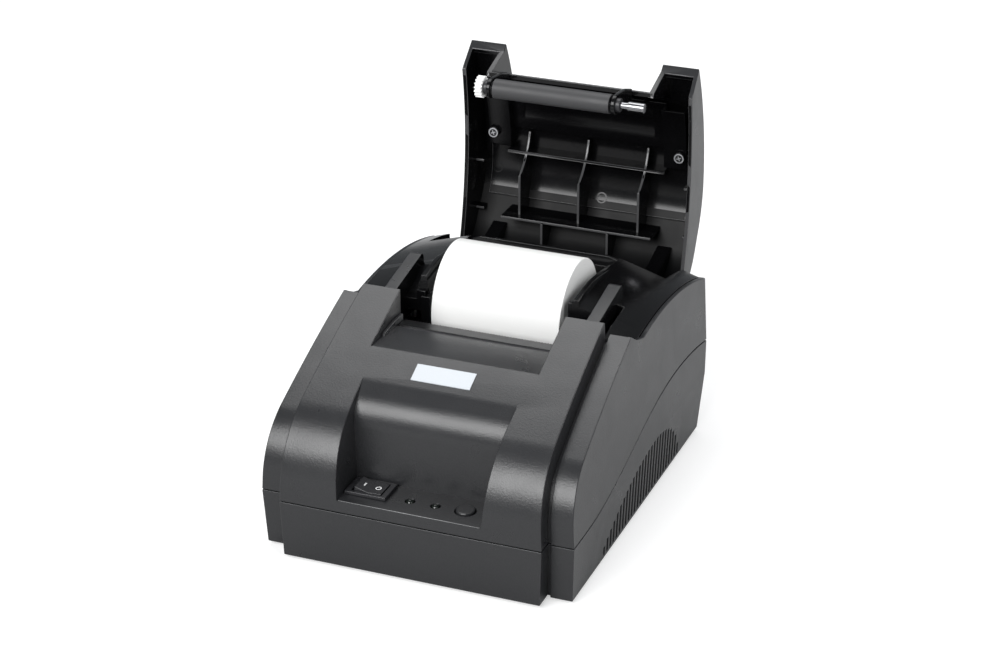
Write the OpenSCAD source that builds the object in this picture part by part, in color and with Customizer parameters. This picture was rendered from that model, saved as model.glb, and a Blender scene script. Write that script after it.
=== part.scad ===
// Desktop thermal receipt printer with a clamshell lid, drawn with the lid swung fully open.
// X runs to the right seen from the front, Y to the rear and Z up.
// The case is drawn in its own axes (Y from the front foot line, Z from the case bottom);
// placed() then moves every piece so that the origin lies under the middle of the part.

/* [Case] */
// Width of the case at its parting line
case_w = 134; // [132:1:138]
// Distance from the front foot line to the rear parting line
case_l = 178.5; // [178:0.5:181]
// Wall thickness of both case halves
case_wall = 2.4; // [2:0.1:2.8]
// Lean of each side wall between the parting line and the wing tops
side_draft = 3.5; // [2.5:0.1:4]
// Lean of each side wall below the parting line
foot_draft = 1; // [0:0.1:2]
// Amount that the nose stands ahead of the front foot line
nose_lead = 0.8; // [0.4:0.1:1.2]
// Radius of the nose seen from the side
nose_r = 36; // [33:1:39]
// Height of the nose radius centre
nose_z = 30; // [29:0.5:32]
// Crown radius of the sloping front deck
brow_r = 570; // [400:10:900]
// Distance of the deck's rear edge from the front foot line
deck_y = 78; // [77:0.2:78.4]
// Height of the deck's rear edge
deck_z = 88.1; // [87:0.1:89]
// Width of the raised centre of the front
centre_w = 112; // [110:1:114]
// Lean of the raised centre's sides from the parting line to the deck's rear edge
centre_draft = 3; // [2:0.1:4]
// Step from the raised centre down to the side wings
wing_step = 6.7; // [5:0.1:8]
// Width of the groove between the raised centre and a wing
groove_w = 1.4; // [0.8:0.1:2]
// Depth of that groove below the wing
groove_d = 1.2; // [0.6:0.1:1.5]
// Rear end of the wing tops
wing_end_y = 81; // [80:0.2:82]
// Height of the parting line at the front
part_z = 24.6; // [22:0.2:27]
// Rise of the parting line from front to rear
part_rise = 17.9; // [12:0.1:20]
// Width of the visible gap along the parting line
part_gap = 0.35; // [0.2:0.05:0.6]
// Height of the rubber feet below the case bottom
foot_h = 1.5; // [1:0.1:2.5]
// Diameter of the rubber feet
foot_d = 12; // [9:0.5:14]

/* [Side walls and seat] */
// Highest point of the side walls behind the wings
ledge_z = 77.3; // [76.5:0.1:78]
// Place of that highest point
ledge_y = 121.3; // [118:0.1:125]
// Radius of the side wall tops
ledge_r = 180; // [160:5:220]
// Tilt of the seat surfaces up towards the paper bin
seat_tilt = 16.7; // [14:0.1:18]
// Thickness of the seat moulding
seat_t = 2; // [1.6:0.1:2.4]
// Inner edge of the raised strips
strip_x = 42; // [42:0.1:43]
// Width of the raised strips
strip_w = 5.5; // [4:0.1:5.8]

/* [Side vents] */
// Number of slots in each side
vent_count = 26; // [12:1:27]
// Pitch of the slots
vent_pitch = 3.8; // [3.6:0.1:4]
// Width of each slot
vent_w = 1.8; // [1.2:0.1:2.2]
// Place of the first slot
vent_y = 44.7; // [42:0.1:48]
// Place of the tallest slot
vent_peak_y = 108.3; // [100:0.1:112]
// Height of the tallest slot
vent_peak_z = 23.6; // [18:0.1:25]

/* [Control recess] */
// Half width of the recess at the panel
recess_x = 30.7; // [30.6:0.1:32]
// Extra half width of the recess at its top edge
recess_flare = 2.3; // [0:0.1:4]
// Height of the control panel
panel_z = 30; // [29:0.5:31]
// Depth of the panel from the front face to the curved back
panel_d = 20.3; // [20:0.1:22]
// Radius over the top of the recess's back wall
recess_r = 17; // [13:0.5:20]
// Height of the centre of that radius
recess_cz = 51.3; // [49:0.1:52]
// Place on the deck where the recess starts
recess_top_y = 32.6; // [31.5:0.1:34]
// Lean of the back wall of the recess
recess_lean = 2.7; // [1:0.1:5]
// Diameter of the two indicator lamps
lamp_d = 3.6; // [3:0.1:4.4]
// Spacing of the two indicator lamps
lamp_gap = 10.9; // [9:0.1:12]
// Diameter of the feed button
button_d = 7.9; // [7:0.1:9]
// Stroke of the feed button
button_stroke = 1.2; // [0.8:0.1:1.4]
// Width of the rocker switch bezel
bezel_w = 17.8; // [17:0.1:18]
// Depth of the rocker switch bezel
bezel_d = 13; // [12:0.1:14]
// Tilt of the rocker from level
rocker_tilt = 7; // [5:0.5:8]

/* [Lid] */
// Distance of the lid hinge axis from the front foot line
hinge_y = 172.2; // [172:0.1:172.6]
// Height of the lid hinge axis
hinge_z = 63.2; // [63:0.1:63.6]
// Diameter of the hinge pins
hinge_pin_d = 4; // [3:0.1:4.6]
// Width of the lid at its rim
lid_w = 106; // [105.4:0.2:107]
// Highest point of the closed lid
lid_z = 103.3; // [102:0.1:105]
// Place of the highest point of the closed lid
lid_top_y = 136; // [134:0.5:138]
// Crown radius of the front part of the lid
lid_front_r = 118; // [115:1:121]
// Radius of the lid's rear shoulder
lid_shoulder_r = 40; // [38:1:42]
// Radius of the lid's rear
lid_rear_r = 31; // [30:0.5:32]
// Thickness of the lid's top
lid_top_t = 2.2; // [1.8:0.1:2.6]
// Thickness of the lid's side walls
lid_side_t = 1.8; // [1.4:0.1:2]
// Gap between the closed lid and its seat
lid_gap = 0.4; // [0.3:0.05:0.8]

/* [Paper] */
// Width of the paper roll
roll_w = 57; // [56:0.5:57.5]
// Diameter of the paper roll
roll_d = 48.4; // [30:0.2:48.6]
// Diameter of the roll's core
core_d = 17; // [14:0.5:20]
// Bore of the roll's core
core_bore = 12.6; // [11:0.2:13]
// Inner width of the paper bin
bin_w = 59; // [58.2:0.1:59.2]
// Inner radius of the bin's trough
trough_r = 27.3; // [27:0.1:27.6]
// Height of the trough's centre
trough_z = 73.9; // [73:0.1:74.5]
// Place of the trough's centre
trough_y = 115.6; // [115:0.1:117]

/* [Printing mechanism] */
// Distance of the closed platen's axis from the front foot line
platen_y = 85.5; // [85.3:0.1:85.7]
// Height of the closed platen's axis
platen_z = 49.8; // [49:0.1:50.4]
// Diameter of the platen's rubber
platen_d = 8.4; // [7.6:0.1:8.6]
// Length of the platen's rubber
platen_l = 52.6; // [50:0.1:53]
// Diameter of the platen shaft
shaft_d = 3; // [2.4:0.1:3.4]
// Gear module
gear_m = 0.53; // [0.5:0.01:0.54]
// Face width of the gears
gear_w = 3.2; // [2.4:0.1:3.4]
// Teeth of the platen gear
platen_teeth = 16; // [12:4:16]
// Teeth of the drive gear
drive_teeth = 28; // [24:4:28]
// Teeth of the idler gear
idler_teeth = 32; // [28:4:36]
// Teeth of the motor pinion
pinion_teeth = 12; // [12:4:12]
// Diameter of the gear studs
stud_d = 3; // [2:0.1:4]
// Thickness of the mechanism's steel frame
frame_t = 1; // [0.8:0.1:1.1]
// Diameter of the stepper motor
motor_d = 20; // [16:0.5:21]
// Length of the stepper motor
motor_l = 15; // [12:0.5:20]
// Pitch of the tear bar's teeth
tear_pitch = 1.25; // [1:0.05:2]

/* [Fits] */
// Radial clearance of a turning fit
run_fit = 0.05; // [0.02:0.01:0.08]
// Clearance between fixed neighbours
snug = 0.1; // [0.05:0.01:0.2]
// Clearance between pieces that pass each other
pass_gap = 0.35; // [0.3:0.05:0.5]

/* [Hidden] */
$fn = 64;
big = 300;
charcoal = [0.23, 0.24, 0.25];
black = [0.06, 0.06, 0.07];
steel = [0.7, 0.71, 0.73];
half_w = case_w / 2;
case_mid_y = (hinge_y + lid_z - hinge_z - nose_lead) / 2;
wall_ref_z = 82;

// Side view of the nose and the sloping deck: two tangent arcs between the front and the deck's rear edge
front_y = -nose_lead;
nose_c = [front_y + nose_r, nose_z];
deck_end = [deck_y, deck_z];
deck_run = deck_end - nose_c;
deck_len = norm(deck_run);
arc_diff = brow_r - nose_r;
join_val = (brow_r * brow_r - arc_diff * arc_diff - deck_len * deck_len) / (2 * arc_diff);
join_a = atan2(deck_run[1], deck_run[0]) + acos(join_val / deck_len);
join_u = [cos(join_a), sin(join_a)];
brow_c = nose_c - arc_diff * join_u;
function deck_h(y, off = 0) = brow_c[1] + sqrt(pow(brow_r - off, 2) - pow(y - brow_c[0], 2));

// Parting line: level at the front, an S up to the rear, then a slight droop
part_y0 = 20;
part_run = 117;
part_droop = 0.0023;
function part_line(y) = part_z
    + part_rise * (1 - cos(180 * min(max((y - part_y0) / part_run, 0), 1))) / 2
    - part_droop * pow(max(y - part_y0 - part_run, 0), 2);

// Front view: half widths of the case and of the raised centre at a height
function side_half(z) = z < part_z ? half_w - foot_draft * (1 - z / part_z)
    : half_w - side_draft * (z - part_z) / (wall_ref_z - part_z);
function centre_half(z) = z < part_z ? centre_w / 2 - nose_lead * (1 - z / part_z)
    : centre_w / 2 - centre_draft * (z - part_z) / (deck_z - part_z);

// Rear view points of the case
rear_foot_y = case_l - 9.5;
rear_part_z = part_line(case_l);
rear_top_y = case_l + 0.5;
ramp_pts = [[wing_end_y + 6.5, ledge_z + 0.7], [wing_end_y + 15, ledge_z - 1.8]];
ledge_cz = ledge_z - ledge_r;
function ledge(y) = ledge_cz + sqrt(ledge_r * ledge_r - pow(y - ledge_y, 2));

// Seat surface: a cylinder whose axis leans towards the outside
seat_ref_x = half_w - side_draft - 0.4;
seat_r = ledge_r / cos(seat_tilt);
function seat_h(x, y) = ledge(y) + tan(seat_tilt) * (seat_ref_x - abs(x));
seat_out = seat_ref_x - 1.2;
slot_front_y = deck_y + 1.3;
slot_rear_y = 96.5;
gear_slot_rear_y = 117;
recess_front_y = 152;
rim_x = 34;
slot_in = rim_x - 2.4;
strip_top_rise = 0.185;
pocket_w = 2.8;

// Lid, in its closed place: three arcs and a straight between the last two
lid_half = lid_w / 2;
lid_in = lid_half - lid_side_t;
shoulder_a = 31;
shoulder_len = 10.4;
lid_c1 = [lid_top_y, lid_z - lid_front_r];
lid_c2 = [lid_top_y, lid_z - lid_shoulder_r];
shoulder_n = [sin(shoulder_a), cos(shoulder_a)];
shoulder_t = [cos(shoulder_a), -sin(shoulder_a)];
lid_c3 = lid_c2 + (lid_shoulder_r - lid_rear_r) * shoulder_n + shoulder_len * shoulder_t;
ear_y = deck_y + 1.2;
ear_x = 36.2;
flank_top = [95.5, 95.4];
flank_low = [86, 70];
flank_t = 2;
cheek_t = 2.1;
ear_lip_t = 4.1;
ear_tip = [ear_y, lid_z - lid_front_r + sqrt(pow(lid_front_r, 2) - pow(ear_y - lid_top_y, 2))];
ear_run = [10.3, -10.8];

barrel_r = lid_c3[0] + lid_rear_r - hinge_y;
barrel_t = 2;
arm_inset = 10.6;
arm_w = 6.4;
bracket_w = 4;
arm_x = [lid_half - arm_inset - arm_w, lid_half - arm_inset];
bracket_x = [[arm_x[0] - bracket_w - 1, arm_x[0] - 1], [arm_x[1] + 0.8, arm_x[1] + 0.8 + bracket_w]];
hinge_boss_r = 4.5;

// Paper
roll_r = roll_d / 2;
roll_z = trough_z - trough_r + pass_gap + roll_r;
trough_t = 2;

// Platen and gears
carrier_x = [27.3, 28.9];
bush_r = 3;
frame_x = 29.2;
gear_x = -31;
shaft_left = -35;
shaft_right = 41.2;
backlash = 0.1;
swing_a = atan2(platen_z - hinge_z, hinge_y - platen_y);
function gear_pr(n) = n * gear_m / 2;
function gear_or(n) = gear_pr(n) + gear_m;
platen_dir = 90 - swing_a;
drive_c = [platen_y, platen_z]
    - (gear_pr(platen_teeth) + gear_pr(drive_teeth) + backlash) * [cos(platen_dir), sin(platen_dir)];
idler_dir = 20;
idler_c = drive_c
    - (gear_pr(idler_teeth) + gear_pr(drive_teeth) + backlash) * [cos(idler_dir), sin(idler_dir)];
pinion_dir = 195;
pinion_c = idler_c
    + (gear_pr(idler_teeth) + gear_pr(pinion_teeth) + backlash) * [cos(pinion_dir), sin(pinion_dir)];
function mesh_phase(dir, phase_a, na, nb) =
    dir + 180 - (360 / nb) * (0.5 - (dir - phase_a) / (360 / na));
idler_phase = idler_dir;
drive_phase = mesh_phase(idler_dir, idler_phase, idler_teeth, drive_teeth);
pinion_phase = mesh_phase(pinion_dir, idler_phase, idler_teeth, pinion_teeth);
platen_phase = mesh_phase(platen_dir, drive_phase, drive_teeth, platen_teeth);
frame_y = [50, 91];
frame_z = [16, 56];
wall_z = 43;
head_tilt = -swing_a;

// Placing
module placed() { translate([0, -case_mid_y, foot_h]) children(); }
module yz(x0, x1) { translate([x0, 0, 0]) rotate([90, 0, 90]) linear_extrude(x1 - x0) children(); }
module xz(y0, y1) { translate([0, y1, 0]) rotate([90, 0, 0]) linear_extrude(y1 - y0) children(); }
module both() { children(); mirror([1, 0, 0]) children(); }
module rod_x(x0, x1, y, z, r) { translate([x0, y, z]) rotate([0, 90, 0]) cylinder(h = x1 - x0, r = r); }
module block(x, y, z) { translate([x[0], y[0], z[0]]) cube([x[1] - x[0], y[1] - y[0], z[1] - z[0]]); }
module open_lid() {
    translate([0, hinge_y, hinge_z]) rotate([-90, 0, 0]) translate([0, -hinge_y, -hinge_z]) children();
}

// Side view of the solid under the nose and deck, moved in by off, up to y_end
module deck_2d(off, y_end, low) {
    intersection() {
        translate(nose_c) circle(nose_r - off, $fn = 180);
        polygon([nose_c, nose_c + big * join_u, nose_c + [-big, big], nose_c + [-big, 0]]);
    }
    intersection() {
        translate(brow_c) circle(brow_r - off, $fn = 720);
        polygon([nose_c, nose_c + big * join_u, [y_end, nose_z + big], [y_end, nose_z]]);
    }
    polygon([
        [off * 1.15, low], [front_y + off, part_z], [front_y + off, nose_z], nose_c, [y_end, nose_z],
        [y_end, low]
    ]);
}

// Side view of the side walls, moved in by t
module wing_2d(t, low) {
    deck_2d(wing_step + t, wing_end_y, low);
    polygon([
        [wing_end_y, low], [wing_end_y, deck_h(wing_end_y, wing_step + t)], ramp_pts[0] - [0, t],
        ramp_pts[1] - [0, t], [ramp_pts[1][0], low]
    ]);
    intersection() {
        translate([ledge_y, ledge_cz]) circle(ledge_r - t, $fn = 360);
        polygon([
            [ramp_pts[1][0], low], [ramp_pts[1][0], big], [rear_top_y - t, big],
            [rear_top_y - t, ledge(rear_top_y) - t], [case_l - t, rear_part_z], [rear_foot_y - t, low]
        ]);
    }
}

// Front view outlines, moved in by t
module sides_2d(t, low) {
    polygon([
        [-side_half(0) + t, low], [side_half(0) - t, low], [half_w - t, part_z], [side_half(big) - t, big],
        [-side_half(big) + t, big], [-half_w + t, part_z]
    ]);
}
module centre_2d(t, low) {
    polygon([
        [-centre_half(0) + t, low], [centre_half(0) - t, low], [centre_w / 2 - t, part_z],
        [centre_half(deck_z + 20) - t, deck_z + 20], [-centre_half(deck_z + 20) + t, deck_z + 20],
        [-centre_w / 2 + t, part_z]
    ]);
}
module wing_body(t, low = 0) {
    intersection() {
        yz(-half_w, half_w) wing_2d(t, low);
        xz(-5, case_l + 5) sides_2d(t, low);
    }
}
module centre_body(t, low = 0, y_end = deck_y) {
    intersection() {
        yz(-half_w, half_w) deck_2d(t, y_end, low);
        xz(-5, case_l + 5) centre_2d(t, low);
    }
}
module case_body() {
    difference() {
        union() {
            wing_body(0);
            centre_body(0);
        }
        difference() {
            xz(-6, deck_y) centre_2d(-groove_w, 0);
            xz(-7, deck_y + 1) centre_2d(0, 0);
            yz(-half_w, half_w) wing_2d(groove_d, 0);
        }
    }
}
module case_hollow(low) {
    wing_body(case_wall, low);
    centre_body(case_wall, low, deck_y + 1);
}
module part_2d(shift, top) {
    step = 6;
    line = [for (y = [-10 : step : case_l + 20]) [y, part_line(y) + shift]];
    polygon(concat([[-10, top]], line, [[line[len(line) - 1][0], top]]));
}

// Places shared by the two case halves
screw_xy = [[60.5, 36], [60.5, case_l - 31]];
screw_grip = 6;
screw_r = 1.5;
screw_head_r = 3;
post_r = 4.2;
foot_xy = [[54, 20], [54, case_l - 22.5]];
module at_four(places) { for (p = places, s = [-1, 1]) translate([s * p[0], p[1], 0]) children(); }
port_gap = 0.3;
board_y = [98, case_l - 12.5];
board_post_x = 44;
board_post_y = [104, case_l - 20.5];
module port_holes() {
    for (p = [inlet_box, usb_box, drawer_box])
        block([p[0] - port_gap, p[1] + port_gap], [rear_foot_y - 12, case_l + 5],
            [board_z - port_gap, p[2] + port_gap]);
}
board_z = 7.6;
inlet_box = [-44, -35, board_z + 11];
usb_box = [-24, -12, board_z + 10.8];
drawer_box = [4, 19, board_z + 13];

module lower_case() {
    color(charcoal) placed() difference() {
        union() {
            difference() {
                case_body();
                difference() {
                    case_hollow(-1);
                    translate([0, 0, case_wall - big]) block([-big, big], [-big, big], [0, big]);
                }
            }
            intersection() {
                at_four(screw_xy) cylinder(h = 60, r = post_r);
                case_body();
            }
            for (s = [-1, 1]) block([s * 20 - 3, s * 20 + 3], [60, 66], [1, frame_z[0]]);
            for (s = [-1, 1]) block([s * 20 - 3, s * 20 + 3], [82, 88], [1, frame_z[0]]);
            for (s = [-1, 1], y = board_post_y)
                translate([s * board_post_x, y, 1]) cylinder(h = board_z - 2.6, r = 3);
        }
        yz(-big, big) part_2d(-part_gap / 2, big);
        for (s = [-1, 1], i = [0 : vent_count - 1]) vent_slot(s, vent_y + i * vent_pitch);
        for (p = screw_xy) for (s = [-1, 1]) translate([s * p[0], p[1], -1]) {
            cylinder(h = 80, r = screw_r + 0.2);
            cylinder(h = part_line(p[1]) - screw_grip + 1, r = screw_head_r + 0.4);
        }
        port_holes();
    }
}
function vent_top(y) = y < vent_peak_y
    ? vent_peak_z - 18.5 * pow((vent_peak_y - y) / 63.6, 2)
    : vent_peak_z - 28.3 + 28.3 * sqrt(max(0, 1 - pow((y - vent_peak_y) / 34, 2)));
module vent_slot(side, y) {
    top = vent_top(y);
    if (top > 3)
        block([side > 0 ? half_w - 4.6 : -half_w - 1, side > 0 ? half_w + 1 : -half_w + 4.6],
            [y - vent_w / 2, y + vent_w / 2], [1.5, top]);
}

// Side view of the control recess, grown by g: a leaning back wall that rounds over into the deck
recess_wall_n = [-cos(recess_lean), sin(recess_lean)];
recess_foot = [front_y + panel_d, panel_z];
recess_c = [
    recess_foot[0] + (recess_r + (recess_cz - panel_z) * sin(recess_lean)) / cos(recess_lean), recess_cz
];
recess_top = [recess_top_y, deck_h(recess_top_y)];
recess_to_top = recess_top - recess_c;
recess_top_a = atan2(recess_to_top[1], recess_to_top[0]) + acos(recess_r / norm(recess_to_top));
recess_top_n = [cos(recess_top_a), sin(recess_top_a)];
recess_top_u = [sin(recess_top_a), -cos(recess_top_a)];
module recess_2d(g) {
    foot = recess_foot - g * recess_wall_n - (g + 1) * [sin(recess_lean), cos(recess_lean)];
    rim = recess_top - g * recess_top_n + 12 * recess_top_u;
    difference() {
        intersection() {
            polygon([
                [-8, foot[1]], foot, recess_c + (recess_r - g) * recess_wall_n,
                recess_c + (recess_r - g) * recess_top_n, rim, [rim[0], 90], [-8, 90]
            ]);
            polygon([[-9, panel_z - g], [70, panel_z - g], [70, 91], [-9, 91]]);
        }
        translate(recess_c) circle(recess_r - g + 0.02, $fn = 180);
    }
}
module recess_body(g) {
    top_z = 67.5;
    intersection() {
        yz(-half_w, half_w) recess_2d(g);
        xz(-9, 70) polygon([
            [-recess_x - g, panel_z - g - 1], [recess_x + g, panel_z - g - 1],
            [recess_x + recess_flare + g, top_z], [recess_x + recess_flare + g, 95],
            [-recess_x - recess_flare - g, 95], [-recess_x - recess_flare - g, top_z]
        ]);
    }
}
notch_y = 47.8;
lamp_x = [-3.5, -3.5 + lamp_gap];
lamp_y = 9.7;
button_x = 19.9;
button_y = 10.3;
bezel_x = -21.4;
bezel_y = 12;
panel_post = [[1.95, 14.6], [13.4, 14.6]];
panel_board_z = 20;
module upper_case() {
    color(charcoal) placed() difference() {
        union() {
            difference() {
                case_body();
                case_hollow(-1);
            }
            intersection() {
                union() {
                    recess_body(case_wall);
                    both() block([ear_x, ear_x + case_wall], [notch_y - 4, deck_y], [70, 95]);
                    for (p = screw_xy, s = [-1, 1]) translate([s * p[0], p[1], 0])
                        cylinder(h = part_line(p[1]) + 8, r = post_r);
                }
                case_body();
                yz(-big, big) part_2d(part_gap / 2, big);
            }
            for (p = panel_post) translate([p[0], p[1], panel_board_z + 1.6])
                cylinder(h = panel_z - panel_board_z - 2, r = 2.2);
        }
        difference() {
            yz(-big, big) part_2d(part_gap / 2, -big);
            for (p = panel_post) translate([p[0], p[1], panel_board_z + 1.6]) cylinder(h = 8, r = 2.2);
        }
        block([-ear_x, ear_x], [notch_y, deck_y + 5], [60, big]);
        recess_body(0);
        intersection() {
            xz(wing_end_y, case_l - case_wall) sides_2d(case_wall, 0);
            block([-big, big], [0, big], [part_z, big]);
        }
        both() intersection() {
            yz(0, seat_out + snug) difference() {
                polygon([[wing_end_y, 50], [case_l - case_wall, 50], [case_l - case_wall, 110], [wing_end_y, 110]]);
                translate([ledge_y, ledge_cz]) circle(ledge_r - seat_t, $fn = 360);
            }
            block([0, big], [0, big], [60, big]);
        }
        block([-lid_half - 1.5, lid_half + 1.5], [deck_y + 0.01, wing_end_y + 1], [50, big]);
        rod_x(-lid_half - 1.5, lid_half + 1.5, hinge_y, hinge_z, barrel_r + 0.6);
        block([-lid_half - 1.5, lid_half + 1.5], [hinge_y, case_l + 5], [hinge_z - barrel_r - lid_gap, big]);
        translate([bezel_x, bezel_y, 0]) block([-7.8, 7.8], [-6, 6], [20, panel_z + 1]);
        for (x = lamp_x) translate([x, lamp_y, 20]) cylinder(h = 20, r = lamp_d / 2 + 0.2);
        translate([button_x, button_y, 20]) cylinder(h = 20, r = button_d / 2 + pass_gap);
        for (p = screw_xy) for (s = [-1, 1]) translate([s * p[0], p[1], 0])
            cylinder(h = part_line(p[1]) + 6.5, r = screw_r + 0.01);
        for (p = panel_post) translate([p[0], p[1], 0]) cylinder(h = panel_z - 3.4, r = 0.8);
    }
}
module rubber_feet() {
    color(black) placed() at_four(foot_xy) translate([0, 0, -foot_h]) cylinder(h = foot_h, r = foot_d / 2);
}
module case_screws() {
    color(steel) placed() for (p = screw_xy) for (s = [-1, 1])
        translate([s * p[0], p[1], part_line(p[1]) - screw_grip]) {
            translate([0, 0, -2]) cylinder(h = 2, r = screw_head_r);
            cylinder(h = screw_grip + 6, r = screw_r);
        }
}
label_x = [-13.6, 11.8];
label_y = [35, 42.6];
label_t = 0.3;
module label_plate() {
    color([0.92, 0.93, 0.94]) placed() difference() {
        intersection() {
            yz(label_x[0], label_x[1]) difference() {
                deck_2d(-label_t, deck_y, 0);
                deck_2d(0, deck_y, 0);
            }
            block(label_x, label_y, [60, 90]);
        }
    }
}

// Seat frame: the glossy inner moulding with the lid's seat, the paper bin and the hinge brackets
bin_half = bin_w / 2;
bin_front_y = 96.5;
bin_rear_y = 146;
bin_rear_z = 82.6;
recess_floor_z = 52.4;
recess_half = lid_half + 1.6;
rear_in = case_l - case_wall - snug;
strip_end_y = 116.5;
strip_end_z = 88.8;
strip_round = 2.5;
scoop_r = 24;
scoop_c = [96.2, 101.1];
scoop_front_y = 93.2;
scoop_round = 7.4;
scoop_x = 35.6;
column_x = 33.6;
column_y = 92.8;
module seat_solid(drop) {
    apex_z = ledge_z - (seat_r + drop) / cos(seat_tilt);
    translate([seat_ref_x, ledge_y, apex_z]) rotate([0, 90 + seat_tilt, 0])
        cylinder(h = 240, r = seat_r, center = true, $fn = 360);
}
module seat_plate(x, y) {
    intersection() {
        difference() {
            seat_solid(0);
            seat_solid(seat_t);
        }
        block(x, y, [50, 110]);
    }
}
module strip_2d() {
    front_y = ear_y + 4;
    front_z = strip_end_z - strip_top_rise * (strip_end_y - front_y);
    round_y = strip_end_y - strip_round;
    round_z = strip_end_z - strip_top_rise * strip_round;
    polygon([[front_y, 66], [front_y, front_z], [round_y, round_z], [round_y + 1, 66]]);
    intersection() {
        translate([round_y - 0.1, round_z - strip_round]) circle(strip_round, $fn = 48);
        polygon([[round_y - 1, 66], [round_y - 1, 100], [strip_end_y, 100], [strip_end_y, 66]]);
    }
    polygon([
        [round_y, 66], [round_y, round_z - strip_round], [strip_end_y - 0.1, round_z - strip_round],
        [strip_end_y - 0.1, 66]
    ]);
}
module gear_path_2d() {
    polygon([[80, 81], [95.5, 81.3], [98.8, 91], [98.8, 100], [80, 100]]);
}
module gear_scoop() {
    intersection() {
        rod_x(scoop_x, strip_x, scoop_c[0], scoop_c[1], scoop_r);
        union() {
            block([scoop_x - 0.02, strip_x + 1], [60, gear_slot_rear_y - scoop_round], [60, 110]);
            translate([scoop_x + scoop_round, gear_slot_rear_y - scoop_round - 0.02, 60])
                cylinder(h = 50, r = scoop_round);
        }
    }
    yz(bin_half + 2, strip_x) gear_path_2d();
}
module bin_wall(left) {
    intersection() {
        yz(0, 60) difference() {
            polygon([
                [bin_front_y, 56], [bin_front_y, 86.6], [105, 87.9], [113.5, 88.5], [126, 86.9],
                [139, 84.4], [bin_rear_y, bin_rear_z], [bin_rear_y, 60], [134, 52], [120, 45.6],
                [111, 45.6], [98, 52]
            ]);
            if (left) gear_path_2d();
        }
        xz(80, 160) polygon([
            [bin_half, 40], [bin_half, 72], [rim_x - 0.6, 90], [rim_x + 1.2, 90], [rim_x + 1.2, 84],
            [bin_half + 2, 72], [bin_half + 2, 40]
        ]);
    }
}
module seat_side(left) {
    slot_y = left ? gear_slot_rear_y : slot_rear_y;
    difference() {
        union() {
            seat_plate([strip_x, seat_out], [slot_front_y, rear_in]);
            seat_plate([rim_x, strip_x + 1], [slot_y, recess_front_y]);
            bin_wall(left);
            difference() {
                yz(strip_x, strip_x + strip_w) strip_2d();
                seat_solid(seat_t / 2);
            }
            yz(strip_x, strip_x + 1.4) intersection() {
                strip_2d();
                polygon([[slot_front_y, 66], [slot_front_y, 84], [slot_y, 86], [slot_y, 66]]);
            }
            intersection() {
                block([strip_x, seat_out - 6], [slot_front_y, slot_front_y + 1.4], [66, 90]);
                seat_solid(seat_t / 2);
            }
            if (left) {
                intersection() {
                    block([bin_half + 2.2, strip_x + 1], [scoop_front_y, slot_y + 1.4], [72, 90]);
                    seat_solid(0);
                }
                block([bin_half, column_x], [column_y, bin_front_y + 1], [58, 79]);
            } else intersection() {
                block([bin_half + 1, strip_x + 1], [slot_rear_y, slot_y + 1.4], [72, 90]);
                seat_solid(0);
            }
            intersection() {
                block([recess_half, recess_half + 1.8], [recess_front_y - 1.8, rear_in],
                    [recess_floor_z - 1.8, 90]);
                seat_solid(seat_t / 2);
            }
            intersection() {
                block([0, recess_half + 1], [recess_front_y - 1.8, recess_front_y],
                    [recess_floor_z - 1.8, 84]);
                union() {
                    seat_solid(seat_t / 2);
                    block([0, rim_x + 1.2], [0, 200], [0, bin_rear_z]);
                }
            }
        }
        block([-1, recess_half], [recess_front_y, big], [40, big]);
        translate([strip_x + strip_w, 0, 0]) block([0, pocket_w], [86, 110], [60, 110]);
        block([seat_out - 0.6, seat_out + 1], [slot_front_y - 1, wing_end_y + 0.1], [50, 110]);
        if (left) gear_scoop();
    }
    pocket_channel();
}
module pocket_channel() {
    x0 = strip_x + strip_w;
    difference() {
        block([x0 - 1, x0 + pocket_w + 1.2], [84.8, 111.2], [73, 80]);
        block([x0, x0 + pocket_w], [86, 110], [74.2, 90]);
        difference() {
            block([x0 - 2, x0 + 8], [80, 120], [60, 100]);
            seat_solid(seat_t / 2);
        }
    }
    for (y = [94, 102]) block([x0 + pocket_w - 0.9, x0 + pocket_w + 0.4], [y, y + 1], [73.4, 79]);
}
module trough() {
    yz(-bin_half - 1, bin_half + 1) difference() {
        union() {
            intersection() {
                translate([trough_y, trough_z]) circle(trough_r + trough_t, $fn = 120);
                polygon([[95, 30], [160, 30], [160, trough_z], [95, trough_z]]);
            }
            polygon([
                [trough_y + 20, trough_z - 4], [trough_y + trough_r + trough_t, trough_z - 4],
                [trough_y + trough_r + trough_t, bin_rear_z], [trough_y + 20, bin_rear_z]
            ]);
        }
        translate([trough_y, trough_z]) circle(trough_r, $fn = 120);
        polygon([
            [90, trough_z - 0.01], [trough_y + trough_r, trough_z - 0.01],
            [trough_y + trough_r, 100], [90, 100]
        ]);
    }
}
module hinge_bracket(x) {
    yz(x[0], x[1]) difference() {
        union() {
            polygon([
                [recess_front_y - 1, hinge_z - hinge_boss_r], [hinge_y, hinge_z - hinge_boss_r],
                [hinge_y, hinge_z + hinge_boss_r], [recess_front_y - 1, hinge_z + hinge_boss_r + 3]
            ]);
            translate([hinge_y, hinge_z]) circle(hinge_boss_r);
        }
        translate([hinge_y, hinge_z]) circle(hinge_pin_d / 2 + 0.01);
    }
}
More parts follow.
